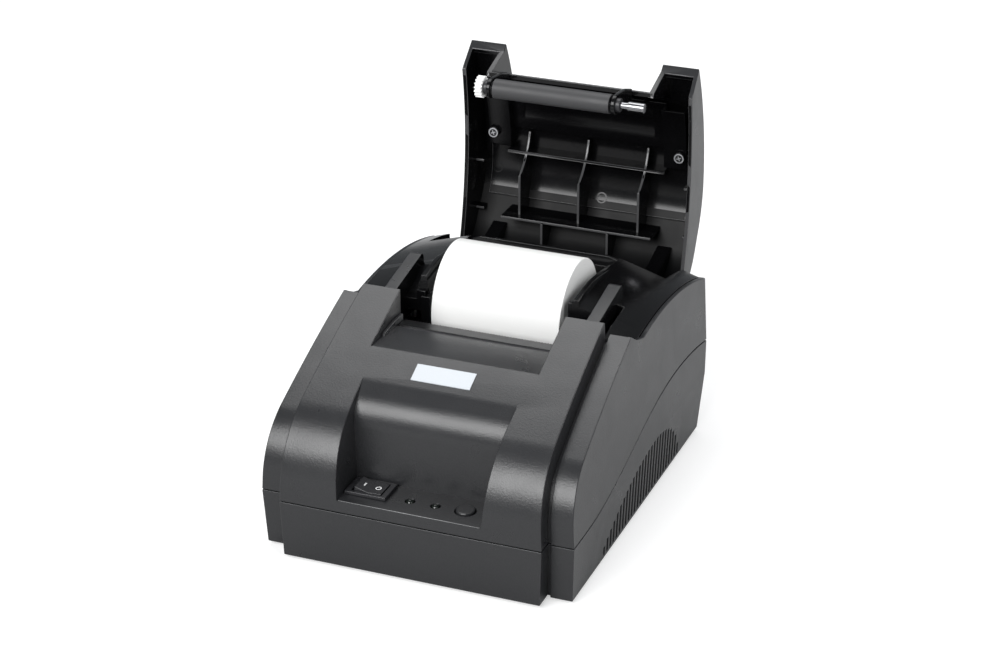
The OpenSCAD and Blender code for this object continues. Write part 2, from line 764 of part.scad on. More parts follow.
module seat_frame() {
    color(black) placed() {
        seat_side(false);
        mirror([1, 0, 0]) seat_side(true);
        trough();
        block([-rim_x - 1.2, rim_x + 1.2], [trough_y + trough_r, recess_front_y],
            [bin_rear_z - 1.8, bin_rear_z]);
        block([-recess_half - 1.8, recess_half + 1.8], [recess_front_y - 1.8, rear_in],
            [recess_floor_z - 1.8, recess_floor_z]);
        both() for (x = bracket_x) hinge_bracket(x);
        both() block([bin_half + 1, rim_x], [bin_rear_y - 2, recess_front_y],
            [recess_floor_z, bin_rear_z - 1]);
        translate([-bin_half - 0.9, 0, 0]) block([0, 0.9], [bin_front_y - 1.9, bin_front_y + 2], [70, 80.8]);
    }
}

// Exit ramp under the notch and the serrated tear bar on it
ramp_mid = [64.4, 75.6];
ramp_end = [78.4, 73.7];
ramp_t = 1.8;
ramp_front = [notch_y + snug, deck_h(notch_y) - 0.3];
ramp_slope = atan2(ramp_mid[1] - ramp_end[1], ramp_end[0] - ramp_mid[0]);
ramp_half = ear_x - snug;
module exit_ramp() {
    color(black) placed() {
        yz(-ramp_half, ramp_half) polygon([
            ramp_front, ramp_mid, ramp_end, ramp_end - [0, 12], ramp_end - [1.4, 12],
            ramp_end - [1.4, ramp_t], ramp_mid - [0, ramp_t], ramp_front - [0, ramp_t]
        ]);
        both() yz(ramp_half - 1.4, ramp_half) polygon([
            ramp_front - [0, 1], ramp_mid - [0, 1], ramp_end - [1, 1], ramp_end - [1, 12],
            ramp_mid - [0, 12]
        ]);
        yz(-ramp_half, -ramp_half + 1.4) polygon([
            ramp_mid - [8, 1], ramp_mid + [-6, 1.2], ramp_mid + [4, 2.4], ramp_end + [-1.5, 4],
            ramp_end - [1, 1]
        ]);
    }
}
tear_half = 34.5;
tear_depth = 7;
tear_t = 0.6;
module tear_bar() {
    teeth = floor(2 * tear_half / tear_pitch);
    start = -teeth * tear_pitch / 2;
    edge = [for (i = [0 : teeth - 1]) each [
        [start + i * tear_pitch, 0], [start + (i + 0.5) * tear_pitch, 1]
    ]];
    color(steel) placed() translate([0, ramp_end[0] - 0.6, ramp_end[1] + 0.6 * tan(ramp_slope) + 0.03])
        rotate([-ramp_slope, 0, 0]) linear_extrude(tear_t) polygon(concat(
            [[start, -tear_depth]], edge, [[-start, 0], [-start, -tear_depth]]
        ));
}

// Controls
rocker_pivot_z = 28.4;
rocker_half = [5.8, 4.6];
pocket_half = [6.5, 4.9];
trunnion_r = 0.9;
module rocker_housing() {
    color(black) placed() translate([bezel_x, bezel_y, 0]) difference() {
        union() {
            block([-bezel_w / 2, bezel_w / 2], [-bezel_d / 2, bezel_d / 2], [panel_z, panel_z + 1.5]);
            block([-7.7, 7.7], [-5.9, 5.9], [14, panel_z + 0.5]);
            for (x = [-4, 4]) block([x - 0.4, x + 0.4], [-2.4, 2.4], [8, 14.5]);
        }
        block([-pocket_half[0], pocket_half[0]], [-pocket_half[1], pocket_half[1]], [20, panel_z + 5]);
        translate([0, 0, rocker_pivot_z]) rotate([90, 0, 0])
            cylinder(h = 2 * 5.6, r = trunnion_r + run_fit, center = true);
    }
}
module power_rocker() {
    l = rocker_half[0];
    color(black) placed() translate([bezel_x, bezel_y, rocker_pivot_z]) rotate([0, rocker_tilt, 0]) {
        translate([0, rocker_half[1], 0]) rotate([90, 0, 0]) linear_extrude(2 * rocker_half[1])
            polygon([[-l, 4.1], [0, 3.1], [l, 4.1], [l, 1], [1.6, -2], [-1.6, -2], [-l, 1]]);
        rotate([90, 0, 0]) cylinder(h = 2 * 5.5, r = trunnion_r, center = true);
    }
}
module feed_button() {
    color(black) placed() translate([button_x, button_y, 0]) {
        translate([0, 0, 25.9]) cylinder(h = 1.3, r = button_d / 2 + 1.2);
        translate([0, 0, 26.5]) cylinder(h = panel_z - 26.1, r = button_d / 2);
        translate([0, 0, panel_z + 0.4]) cylinder(h = 0.4, r1 = button_d / 2, r2 = button_d / 2 - 0.5);
    }
}
module indicator_lamps() {
    color([0.2, 0.55, 0.3]) placed() for (x = lamp_x) translate([x, lamp_y, panel_board_z + 1.6]) {
        cylinder(h = panel_z - panel_board_z - 2.6, r = lamp_d / 2);
        translate([0, 0, panel_z - panel_board_z - 2.6]) sphere(r = lamp_d / 2);
    }
}
module panel_board() {
    color([0.1, 0.35, 0.2]) placed() difference() {
        union() {
            block([-9, 27], [3.4, 18.6], [panel_board_z, panel_board_z + 1.6]);
            translate([button_x, button_y, panel_board_z + 1]) {
                block([-3, 3], [-3, 3], [0, 2.9]);
                cylinder(h = 3.3, r = 1.5);
            }
        }
        for (p = panel_post) translate([p[0], p[1], 0]) cylinder(h = 40, r = 0.9);
    }
}

// Boards and sockets
module main_board() {
    color([0.1, 0.35, 0.2]) placed() difference() {
        block([-48, 48], board_y, [board_z - 1.6, board_z]);
        for (s = [-1, 1], y = board_post_y) translate([s * board_post_x, y, 0]) cylinder(h = 20, r = 1.6);
    }
}
module board_parts() {
    color([0.12, 0.12, 0.13]) placed() translate([0, 0, board_z]) {
        block([-30, -12], [112, 130], [0, 1.6]);
        block([8, 18], [120, 134], [0, 1.2]);
        block([-9, 9], [100, 104], [0, 0.9]);
        for (x = [28, 38]) translate([x, 140, 0]) cylinder(h = 14, r = 4);
        translate([34, 116, 0]) cylinder(h = 9, r = 5);
    }
}
port_y = [case_l - 23.5, case_l - 7.5];
module socket_shell(box) { block([box[0], box[1]], port_y, [board_z, box[2]]); }
module power_inlet() {
    x = (inlet_box[0] + inlet_box[1]) / 2;
    color(black) placed() difference() {
        socket_shell(inlet_box);
        difference() {
            translate([x, port_y[1] + 1, board_z + 6]) rotate([90, 0, 0]) cylinder(h = 11, r = 3.1);
            translate([x, port_y[1] - 1, board_z + 6]) rotate([90, 0, 0]) cylinder(h = 12, r = 1);
        }
    }
}
module usb_port() {
    x = (usb_box[0] + usb_box[1]) / 2;
    color(steel) placed() {
        difference() {
            socket_shell(usb_box);
            block([x - 4.4, x + 4.4], [port_y[0] + 4, big], [board_z + 1.4, board_z + 9.4]);
        }
        block([x - 2.8, x + 2.8], [port_y[0] + 3.5, port_y[1] - 2], [board_z + 3.8, board_z + 7]);
    }
}
module drawer_port() {
    x = (drawer_box[0] + drawer_box[1]) / 2;
    color(black) placed() difference() {
        socket_shell(drawer_box);
        block([x - 5, x + 5], [port_y[0] + 4, big], [board_z + 3, board_z + 10]);
        block([x - 2, x + 2], [port_y[0] + 8, big], [board_z + 1.2, board_z + 4]);
    }
}

// Printing mechanism
head_face_y = platen_y - platen_d / 2 - pass_gap;
head_t = 1.2;
sink_t = 3.6;
spring_r = 2.1;
wire_r = 0.45;
spring_x = 15;
wall_y = 66.5;
module tilted_head() {
    translate([0, head_face_y, platen_z]) rotate([head_tilt, 0, 0]) children();
}
module mechanism_frame() {
    notch_r = bush_r + pass_gap;
    color(steel) placed() {
        both() yz(frame_x, frame_x + frame_t) difference() {
            polygon([
                [frame_y[0], frame_z[0]], [frame_y[1], frame_z[0]], [frame_y[1], frame_z[1]],
                [frame_y[0] + 14, frame_z[1]], [frame_y[0], frame_z[1] - 10]
            ]);
            translate([platen_y, platen_z]) circle(notch_r);
            polygon([
                [platen_y - notch_r, platen_z], [platen_y + notch_r, platen_z],
                [platen_y + notch_r, 60], [platen_y - notch_r - 1, 60]
            ]);
            for (c = [drive_c, idler_c]) translate(c) circle(stud_d / 2);
            translate(pinion_c) circle(1.8);
        }
        block([-frame_x - 0.2, frame_x + 0.2], frame_y, [frame_z[0], frame_z[0] + frame_t]);
        block([-frame_x - 0.2, frame_x + 0.2], [wall_y, wall_y + frame_t], [wall_z, frame_z[1]]);
        for (x = [-spring_x, spring_x]) translate([x, wall_y, platen_z]) rotate([-90, 0, 0])
            cylinder(h = 4, r = spring_r - wire_r - 0.3);
    }
}
module print_head() {
    color([0.86, 0.86, 0.82]) placed() tilted_head() block([-27.3, 27.3], [-head_t, 0], [-9, 6.5]);
}
module heat_sink() {
    color(steel) placed() tilted_head() difference() {
        block([-27, 27], [-head_t - sink_t, -head_t], [-12, 5.5]);
        for (x = [-22 : 6 : 22]) block([x, x + 2], [-head_t - sink_t - 1, -head_t - 2], [-13, -4]);
    }
}
module head_springs() {
    start_y = wall_y + frame_t;
    end_y = head_face_y - (head_t + sink_t) * cos(head_tilt);
    color(steel) placed() for (x = [-spring_x, spring_x])
        translate([x, start_y, platen_z]) rotate([-90, 0, 0])
            linear_extrude(height = end_y - start_y - 0.8, twist = -360 * 5, slices = 60, $fn = 8)
                polygon([for (w = [-wire_r, wire_r], a = [-60 : 20 : 60])
                    (spring_r + w) * [cos(a * sign(w)), -sin(a * sign(w))]]);
}
module gear_studs() {
    color(steel) placed() for (c = [drive_c, idler_c]) {
        rod_x(gear_x - gear_w - 0.4, -frame_x, c[0], c[1], stud_d / 2);
        rod_x(gear_x - gear_w - 1.2, gear_x - gear_w - 0.4, c[0], c[1], stud_d / 2 + 0.9);
        rod_x(gear_x + 0.4, -frame_x - frame_t, c[0], c[1], stud_d / 2 + 0.9);
    }
}
module gear_2d(n, phase) {
    pr = gear_pr(n);
    pitch = 360 / n;
    shape = [[-0.3, pr - 1.2 * gear_m], [-0.22, pr], [-0.1, pr + gear_m],
        [0.1, pr + gear_m], [0.22, pr], [0.3, pr - 1.2 * gear_m]];
    polygon([for (i = [0 : n - 1], p = shape)
        p[1] * [cos(phase + (i + p[0]) * pitch), sin(phase + (i + p[0]) * pitch)]]);
}
module gear(c, n, phase, bore_r) {
    yz(gear_x - gear_w, gear_x) difference() {
        translate(c) gear_2d(n, phase);
        translate(c) circle(bore_r);
    }
}
module drive_gear() {
    color("white") placed() gear(drive_c, drive_teeth, drive_phase, stud_d / 2 + run_fit);
}
module idler_gear() {
    color("white") placed() gear(idler_c, idler_teeth, idler_phase, stud_d / 2 + run_fit);
}
motor_shaft_r = 1;
module motor_pinion() {
    color("white") placed() gear(pinion_c, pinion_teeth, pinion_phase, motor_shaft_r);
}
module motor_shaft() {
    color(steel) placed()
        rod_x(gear_x - gear_w - 0.6, -frame_x + 6, pinion_c[0], pinion_c[1], motor_shaft_r);
}
module stepper_motor() {
    x0 = -frame_x + 0.1;
    color(steel) placed() difference() {
        union() {
            rod_x(x0, x0 + motor_l, pinion_c[0], pinion_c[1], motor_d / 2);
            rod_x(x0 - 0.9, x0, pinion_c[0], pinion_c[1], 1.7);
            yz(x0, x0 + 0.8) translate(pinion_c) square([motor_d + 6, 8], center = true);
        }
        rod_x(x0 - 2, x0 + 7, pinion_c[0], pinion_c[1], motor_shaft_r + run_fit);
    }
}
module head_ribbon() {
    color([0.75, 0.55, 0.25]) placed() yz(-8, 8) polygon([
        [82.5, 36.6], [92.6, 36.6], [92.6, board_z + 1.3], [103.5, board_z + 1.3],
        [103.5, board_z + 0.9], [92.2, board_z + 0.9], [92.2, 36.2], [82.1, 36.2], [81.5, 40.72], [81.9, 40.8]
    ]);
}
module paper_sensor() {
    color(black) placed() block([7, 13], [trough_y - 4, trough_y + 4],
        [trough_z - trough_r - trough_t - 4.1, trough_z - trough_r - trough_t - 0.1]);
}
module lid_switch() {
    x0 = frame_x + frame_t + 0.05;
    color(black) placed() {
        block([x0, x0 + 5.5], [58, 70], [45, 52]);
        yz(x0 + 1, x0 + 4) polygon([[59, 51.9], [60, 51.9], [71.5, 53.4], [71.5, 54], [59, 52.5]]);
    }
}

// Lid, drawn closed and then swung open about its hinge
rib_t = 1.2;
pad_half = lid_half - 6.2;
pad_t = 2.3;
pad_y = [131, 153.2];
carrier_screw = [lid_half - 9.3, 123];
flange_drop = 4.5;
flange_z = lid_h(carrier_screw[1]) - lid_top_t - flange_drop + 0.45;
screw_shank_r = 1.2;
module lid_solid(off) {
    rear_y = lid_c3[0] + lid_rear_r - off;
    ease = 0.01;
    yz(-lid_half, lid_half) intersection() {
        translate(lid_c1) circle(lid_front_r - off, $fn = 360);
        translate([ear_y, 50]) square([lid_top_y + 1 - ear_y, 80]);
    }
    yz(-lid_half, lid_half) intersection() {
        translate(lid_c2 + [0, ease]) circle(lid_shoulder_r - off, $fn = 180);
        translate([lid_top_y - 2.5, 60]) square(80);
    }
    yz(-lid_half, lid_half) polygon([
        lid_c2, lid_c2 + (lid_shoulder_r - off - ease) * shoulder_n,
        lid_c3 + (lid_rear_r - off - ease) * shoulder_n, lid_c3
    ]);
    yz(-lid_half, lid_half) intersection() {
        translate(lid_c3) circle(lid_rear_r - off, $fn = 180);
        translate([lid_top_y + 6, 60]) square(80);
    }
    block([-lid_half, lid_half], [lid_top_y - 2, rear_y], [50, lid_c3[1]]);
}
function lid_h(y) = lid_c1[1] + sqrt(pow(lid_front_r, 2) - pow(y - lid_c1[0], 2));
rim_lean = 1;
module lid_sides_2d(t) {
    polygon([
        [-lid_half + t, 50], [lid_half - t, 50], [lid_half - t, 80], [lid_half - t - rim_lean, lid_z + 2],
        [-lid_half + t + rim_lean, lid_z + 2], [-lid_half + t, 80]
    ]);
}
module lid_skin() {
    difference() {
        intersection() {
            difference() {
                lid_solid(0);
                yz(-60, 60) polygon([
                    [60, 0], [60, 120], ear_tip - 0.8 * ear_run, ear_tip + ear_run,
                    [ear_tip[0] + ear_run[0], 0]
                ]);
                yz(-60, 60) polygon([
                    [93, 0], [93, 72], [hinge_y - 2, 72], [hinge_y - 2, hinge_z], [big, hinge_z], [big, 0]
                ]);
            }
            xz(60, 200) lid_sides_2d(0);
        }
        difference() {
            intersection() {
                lid_solid(lid_top_t);
                xz(60, 200) lid_sides_2d(lid_side_t);
            }
            difference() {
                block([-60, 60], [60, ear_y + 5], [60, 120]);
                lid_solid(ear_lip_t);
            }
        }
        both() intersection() {
            seat_solid(-lid_gap);
            block([40, 60], [60, hinge_y - 1], [0, 100]);
        }
        yz(-ear_x, ear_x) polygon([
            [60, 0], [60, 120], flank_top + [0, 20], flank_top, flank_low, [flank_low[0], 0]
        ]);
    }
}
module flank_2d(z0, z1) {
    slope = (flank_top[0] - flank_low[0]) / (flank_top[1] - flank_low[1]);
    y0 = flank_low[0] + 0.03 + (z0 - flank_low[1]) * slope;
    y1 = flank_low[0] + 0.03 + (z1 - flank_low[1]) * slope;
    polygon([[y0, z0], [y1, z1], [y1 + flank_t, z1], [y0 + flank_t, z0]]);
}
module lid_flank() {
    intersection() {
        union() {
            yz(-ear_x - cheek_t / 2, ear_x + cheek_t / 2) flank_2d(flank_low[1], flank_top[1] + 2);
            both() yz(ear_x + 0.02, ear_x + cheek_t) polygon([
                ear_tip + 0.25 * ear_run, ear_tip + [1.5, 0.3], flank_top + [2, 2],
                flank_low + [2.2, 0], flank_low + [0.2, 1]
            ]);
        }
        lid_solid(0.3);
    }
}
module roll_room(half = 60) { rod_x(-half, half, trough_y, roll_z, roll_r + 2.3); }
module lid_ribs() {
    both() {
        block([0, lid_half - 16], [131 - rib_t / 2, 131 + rib_t / 2], [84, big]);
        block([0, lid_half - 17.5], [158 - rib_t / 2, 158 + rib_t / 2], [80, big]);
        block([28 - rib_t / 2, 28 + rib_t / 2], [122, 158], [84, big]);
        block([15.5 - rib_t / 2, 15.5 + rib_t / 2], [158, 172], [79, big]);
        for (y = [99, 136, 159])
            block([lid_half - 5.9, lid_half - 1], [y - 0.6, y + 0.6], [lid_h(min(y, 136)) - 14, big]);
        translate([24, 161, 89]) cylinder(h = 10, r1 = 1, r2 = 3);
        translate([carrier_screw[0], carrier_screw[1], flange_z]) cylinder(h = 12, r = 3.6);
    }
    difference() {
        block([-pad_half, pad_half], pad_y, [84, big]);
        lid_solid(lid_top_t + pad_t);
    }
    block([-rib_t / 2, rib_t / 2], [122, 158], [84, big]);
}
module lid_rib_room() {
    difference() {
        intersection() {
            lid_solid(lid_top_t / 2);
            xz(60, 200) lid_sides_2d(lid_side_t / 2);
        }
        roll_room();
    }
}
module lid_arms() {
    both() difference() {
        union() {
            rod_x(arm_x[0], arm_x[1], hinge_y, hinge_z, hinge_boss_r);
            intersection() {
                yz(arm_x[0], arm_x[1]) polygon([
                    [hinge_y - 3, hinge_z], [hinge_y + 4, hinge_z], [hinge_y + 5, hinge_z + 12],
                    [hinge_y + 3, hinge_z + 26], [hinge_y - 8, hinge_z + 26], [hinge_y - 4, hinge_z + 12]
                ]);
                lid_solid(lid_top_t / 2);
            }
        }
        rod_x(arm_x[0] - 1, arm_x[1] + 1, hinge_y, hinge_z, hinge_pin_d / 2 + run_fit);
    }
}
module lid_barrel() {
    end_a = -42;
    yz(-lid_half, lid_half) intersection() {
        difference() {
            translate([hinge_y, hinge_z]) circle(barrel_r, $fn = 120);
            translate([hinge_y, hinge_z]) circle(barrel_r - barrel_t, $fn = 120);
        }
        translate([hinge_y, hinge_z])
            polygon([[0, 0], 40 * [cos(end_a), sin(end_a)], [40, 0], 40 * [cos(18), sin(18)]]);
    }
}
module lid_shell() {
    color(charcoal) placed() open_lid() {
        lid_skin();
        lid_flank();
        difference() {
            intersection() {
                lid_ribs();
                lid_rib_room();
            }
            at_four([carrier_screw]) cylinder(h = flange_z + 5, r = screw_shank_r + 0.01);
        }
        lid_arms();
        lid_barrel();
    }
}
carrier_base_y = [98.5, 121.5];
flange_y = [100.5, 129.3];
flange_x = [lid_half - 17, lid_half - 6.4];
carrier_t = 1.7;
module carrier_sheet(drop, x, y) {
    intersection() {
        difference() {
            lid_solid(lid_top_t + drop);
            lid_solid(lid_top_t + drop + carrier_t);
        }
        block(x, y, [80, 110]);
    }
}
module platen_carrier() {
    eye = [platen_y, platen_z];
    color(black) placed() open_lid() difference() {
        union() {
            carrier_sheet(0.1, [-flange_x[0] - 1, flange_x[0] + 1], carrier_base_y);
            both() {
                carrier_sheet(flange_drop, flange_x, flange_y);
                intersection() {
                    difference() {
                        lid_solid(lid_top_t + 0.1);
                        lid_solid(lid_top_t + flange_drop + carrier_t);
                    }
                    block([flange_x[0], flange_x[0] + carrier_t], flange_y, [80, 110]);
                }
            }
            intersection() {
                both() yz(carrier_x[0], carrier_x[1]) {
                    translate(eye) circle(4.4);
                    polygon([
                        [carrier_base_y[0] + 6, 98], [98.7, 97.2], [95.9, 89.6], flank_low + [2.4, -0.4],
                        flank_low + [-1, -0.4], [eye[0] - 3, 62], [eye[0] - 4.4, eye[1]],
                        [eye[0] + 4.4, eye[1]], [90.5, 62], [92.6, 72], [98.6, 86], [104, 94]
                    ]);
                }
                union() {
                    lid_solid(lid_top_t + 0.1);
                    block([-40, 40], [70, 100], [30, 80]);
                }
            }
        }
        roll_room(30.5);
        at_four([carrier_screw]) cylinder(h = 200, r = screw_shank_r + 0.1);
        for (s = [-1, 1]) rod_x(s * 28.1 - 1, s * 28.1 + 1, platen_y, platen_z, bush_r + 0.01);
    }
}
module carrier_screws() {
    head_r = 2.6;
    head_h = 1.8;
    sheet_r = lid_front_r - lid_top_t - flange_drop - carrier_t;
    under_z = lid_c1[1] + sqrt(pow(sheet_r, 2) - pow(lid_top_y - carrier_screw[1] + head_r, 2)) - 0.05;
    color(steel) placed() open_lid() at_four([carrier_screw]) translate([0, 0, under_z - head_h]) {
        cylinder(h = head_h, r = head_r);
        cylinder(h = head_h + 6.4, r = screw_shank_r);
    }
}
module platen_bushes() {
    color([0.8, 0.8, 0.8]) placed() open_lid() for (s = [-1, 1]) difference() {
        rod_x(s > 0 ? carrier_x[0] - 0.3 : -frame_x - 1.5, s > 0 ? frame_x + 1.5 : -carrier_x[0] + 0.3,
            platen_y, platen_z, bush_r);
        rod_x(-60, 60, platen_y, platen_z, shaft_d / 2 + run_fit);
    }
}
module platen_roller() {
    color([0.3, 0.3, 0.31]) placed() open_lid() difference() {
        rod_x(-platen_l / 2, platen_l / 2, platen_y, platen_z, platen_d / 2);
        rod_x(-60, 60, platen_y, platen_z, shaft_d / 2);
    }
}
module platen_shaft() {
    color(steel) placed() open_lid() {
        rod_x(shaft_left, shaft_right, platen_y, platen_z, shaft_d / 2);
        rod_x(shaft_right - 7.2, shaft_right, platen_y, platen_z, shaft_d / 2 + 0.6);
    }
}
module platen_gear() {
    color("white") placed() open_lid()
        gear([platen_y, platen_z], platen_teeth, platen_phase, shaft_d / 2);
}
module hinge_pins() {
    color(steel) placed() both()
        rod_x(bracket_x[0][0], bracket_x[1][1], hinge_y, hinge_z, hinge_pin_d / 2);
}
module paper_roll() {
    color([0.96, 0.96, 0.95]) placed() difference() {
        rod_x(-roll_w / 2, roll_w / 2, trough_y, roll_z, roll_r);
        rod_x(-60, 60, trough_y, roll_z, core_d / 2);
    }
}
module roll_core() {
    color([0.7, 0.62, 0.5]) placed() difference() {
        rod_x(-roll_w / 2, roll_w / 2, trough_y, roll_z, core_d / 2);
        rod_x(-60, 60, trough_y, roll_z, core_bore / 2);
    }
}

lower_case();
upper_case();
seat_frame();
exit_ramp();
tear_bar();
label_plate();
rubber_feet();
case_screws();
mechanism_frame();
print_head();
heat_sink();
head_springs();
gear_studs();
stepper_motor();
motor_shaft();
motor_pinion();
idler_gear();
drive_gear();
main_board();
board_parts();
panel_board();
indicator_lamps();
rocker_housing();
power_rocker();
feed_button();
power_inlet();
usb_port();
drawer_port();
head_ribbon();
paper_sensor();
lid_switch();
hinge_pins();
paper_roll();
roll_core();
lid_shell();
platen_carrier();
carrier_screws();
platen_bushes();
platen_roller();
platen_shaft();
platen_gear();
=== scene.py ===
import math

import bmesh
import bpy
from mathutils import Matrix, Vector, kdtree


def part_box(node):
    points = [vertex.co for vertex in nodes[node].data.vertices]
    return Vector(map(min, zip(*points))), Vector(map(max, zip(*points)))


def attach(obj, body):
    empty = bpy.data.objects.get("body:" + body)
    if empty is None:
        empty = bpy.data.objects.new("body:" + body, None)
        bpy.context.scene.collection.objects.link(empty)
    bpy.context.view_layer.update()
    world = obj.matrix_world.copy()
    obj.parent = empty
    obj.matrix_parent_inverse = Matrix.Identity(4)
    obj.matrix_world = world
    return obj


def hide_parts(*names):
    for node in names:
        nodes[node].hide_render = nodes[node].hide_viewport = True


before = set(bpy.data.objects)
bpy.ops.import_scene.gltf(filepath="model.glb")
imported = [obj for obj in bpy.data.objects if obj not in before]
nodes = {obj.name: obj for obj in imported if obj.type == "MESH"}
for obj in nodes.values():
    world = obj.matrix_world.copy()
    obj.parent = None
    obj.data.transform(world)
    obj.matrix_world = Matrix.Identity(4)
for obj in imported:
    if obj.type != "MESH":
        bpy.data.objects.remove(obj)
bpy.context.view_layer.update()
scene = bpy.context.scene

# Camera: a long lens before the printer's right front corner and above it, as far back as
# the photograph was taken. Its axes were fitted to the straight edges of the case.
camera_place = Vector((0.363415, -0.93655, 0.536072))
camera_right = Vector((0.930981, 0.365063, 0.001629))
camera_up = Vector((-0.155610, 0.392791, 0.906367))
camera_back = Vector((0.330242, -0.844064, 0.422489))
camera_data = bpy.data.cameras.new("camera")
camera_data.sensor_width = 36
camera_data.lens = 94.902
camera_data.clip_end = 20
camera = bpy.data.objects.new("camera", camera_data)
scene.collection.objects.link(camera)
camera_axes = Matrix((camera_right, camera_up, camera_back)).transposed()
camera.matrix_world = Matrix.Translation(camera_place) @ camera_axes.to_4x4()
scene.camera = camera


# Surround: the camera sees plain white, while the plastic mirrors and is lit by a dim,
# slightly blue room.
def shader_node(tree, kind, operation=None, **values):
    """Adds a node of this kind and sets its inputs, with underscores for the spaces."""
    node = tree.nodes.new("ShaderNode" + kind)
    if operation:
        node.operation = operation
    for socket, value in values.items():
        node.inputs[socket.replace("_", " ")].default_value = value
    return node


scene.view_settings.view_transform = "Standard"
scene.world = bpy.data.worlds.new("studio")
scene.world.use_nodes = True
room = scene.world.node_tree
room.nodes.clear()
seen_white = shader_node(room, "Background", Color=(1, 1, 1, 1), Strength=1.0)
dim_room = shader_node(room, "Background", Color=(0.9, 0.95, 1.0, 1), Strength=0.22)
seen_or_lit = shader_node(room, "LightPath")
room_choice = shader_node(room, "MixShader")
room_out = shader_node(room, "OutputWorld")
room.links.new(seen_or_lit.outputs["Is Camera Ray"], room_choice.inputs["Fac"])
room.links.new(dim_room.outputs["Background"], room_choice.inputs[1])
room.links.new(seen_white.outputs["Background"], room_choice.inputs[2])
room.links.new(room_choice.outputs["Shader"], room_out.inputs["Surface"])


# Soft boxes: a large one high in front makes the broad highlights, one behind lights the
# deck and the roll, and two weaker ones stand to the right of the printer.
def soft_box(name, place, target, width, height, power):
    """A rectangular lamp in watts, turned to its target, in metres."""
    data = bpy.data.lights.new(name, "AREA")
    data.shape = "RECTANGLE"
    data.size = width
    data.size_y = height
    data.energy = power
    box = bpy.data.objects.new(name, data)
    scene.collection.objects.link(box)
    aim = (Vector(target) - Vector(place)).to_track_quat("-Z", "Y")
    box.matrix_world = Matrix.Translation(place) @ aim.to_matrix().to_4x4()


soft_box("front_box", (-0.26, -1.24, 0.89), (0, -0.02, 0.05), 1.1, 0.8, 26)
soft_box("back_box", (-0.35, 0.55, 1.35), (0, 0, 0.05), 1.1, 0.8, 9.7)
soft_box("fill_box", (1.2, -0.45, 0.55), (0, 0, 0.08), 0.8, 0.8, 5)
soft_box("right_box", (0.95, 0.75, 0.8), (0.3, 0.4, 0), 0.6, 0.6, 7)

# Sweep: the pale floor. It glows a little for the camera alone, so that it reads as plain
# white and still mirrors in the sides as a light grey.
sweep_grey = 0.6
sweep_glow = 0.5
sweep_half = 6
sweep = bpy.data.materials.new("sweep")
sweep.use_nodes = True
sweep_shader = sweep.node_tree.nodes["Principled BSDF"]
sweep_shader.inputs["Base Color"].default_value = (sweep_grey, sweep_grey, sweep_grey, 1)
sweep_shader.inputs["Roughness"].default_value = 0.9
sweep_shader.inputs["Specular IOR Level"].default_value = 0.1
sweep_shader.inputs["Emission Color"].default_value = (1, 1, 1, 1)
sweep_seen = shader_node(sweep.node_tree, "LightPath")
glow = shader_node(sweep.node_tree, "Math", "MULTIPLY")
glow.inputs[1].default_value = sweep_glow
sweep.node_tree.links.new(sweep_seen.outputs["Is Camera Ray"], glow.inputs[0])
sweep.node_tree.links.new(glow.outputs["Value"], sweep_shader.inputs["Emission Strength"])
bm = bmesh.new()
bmesh.ops.create_grid(bm, x_segments=1, y_segments=1, size=sweep_half)
floor_mesh = bpy.data.meshes.new("floor")
bm.to_mesh(floor_mesh)
bm.free()
floor_mesh.materials.append(sweep)
floor = bpy.data.objects.new("floor", floor_mesh)
scene.collection.objects.link(floor)

# Lower case: the tray that everything else is screwed into, with a fan of narrow vent
# slots in each side. It is moulded in charcoal ABS with an even spark-eroded grain, and
# every outer edge of the mould has a small radius.
mm = 0.001


def moulded_grain():
    """The grain of a mould: its normals, its tone, and a gloss that handling made uneven."""
    speck_share = 0.6
    group = bpy.data.node_groups.new("moulded_grain", "ShaderNodeTree")
    for name in ("Scale", "Depth", "Unevenness", "Roughness"):
        group.interface.new_socket(name, in_out="INPUT", socket_type="NodeSocketFloat")
    group.interface.new_socket("Normal", in_out="OUTPUT", socket_type="NodeSocketVector")
    group.interface.new_socket("Tone", in_out="OUTPUT", socket_type="NodeSocketFloat")
    group.interface.new_socket("Gloss", in_out="OUTPUT", socket_type="NodeSocketFloat")
    link = group.links.new
    given = group.nodes.new("NodeGroupInput")
    result = group.nodes.new("NodeGroupOutput")
    place = shader_node(group, "TexCoord")

    fine = shader_node(group, "TexNoise", Detail=3, Roughness=0.6)
    bump = shader_node(group, "Bump", Strength=1.0)
    link(place.outputs["Object"], fine.inputs["Vector"])
    link(given.outputs["Scale"], fine.inputs["Scale"])
    link(given.outputs["Depth"], bump.inputs["Distance"])
    link(fine.outputs["Fac"], bump.inputs["Height"])
    link(bump.outputs["Normal"], result.inputs["Normal"])

    broad = shader_node(group, "TexNoise", Scale=28, Detail=5)
    speck = shader_node(group, "Math", "MULTIPLY")
    speck.inputs[1].default_value = speck_share
    tone = shader_node(group, "Math", "MULTIPLY_ADD")
    link(place.outputs["Object"], broad.inputs["Vector"])
    link(fine.outputs["Fac"], speck.inputs[0])
    link(broad.outputs["Fac"], tone.inputs[0])
    link(given.outputs["Unevenness"], tone.inputs[1])
    link(speck.outputs["Value"], tone.inputs[2])
    link(tone.outputs["Value"], result.inputs["Tone"])

    smear = shader_node(group, "TexNoise", Scale=60, Detail=6, Distortion=0.8)
    worn = shader_node(group, "MapRange", From_Min=0.3, From_Max=0.7, To_Min=0.9, To_Max=1.1)
    gloss = shader_node(group, "Math", "MULTIPLY")
    link(place.outputs["Object"], smear.inputs["Vector"])
    link(smear.outputs["Fac"], worn.inputs["Value"])
    link(worn.outputs["Result"], gloss.inputs[0])
    link(given.outputs["Roughness"], gloss.inputs[1])
    link(gloss.outputs["Value"], result.inputs["Gloss"])
    return group


grain = moulded_grain()


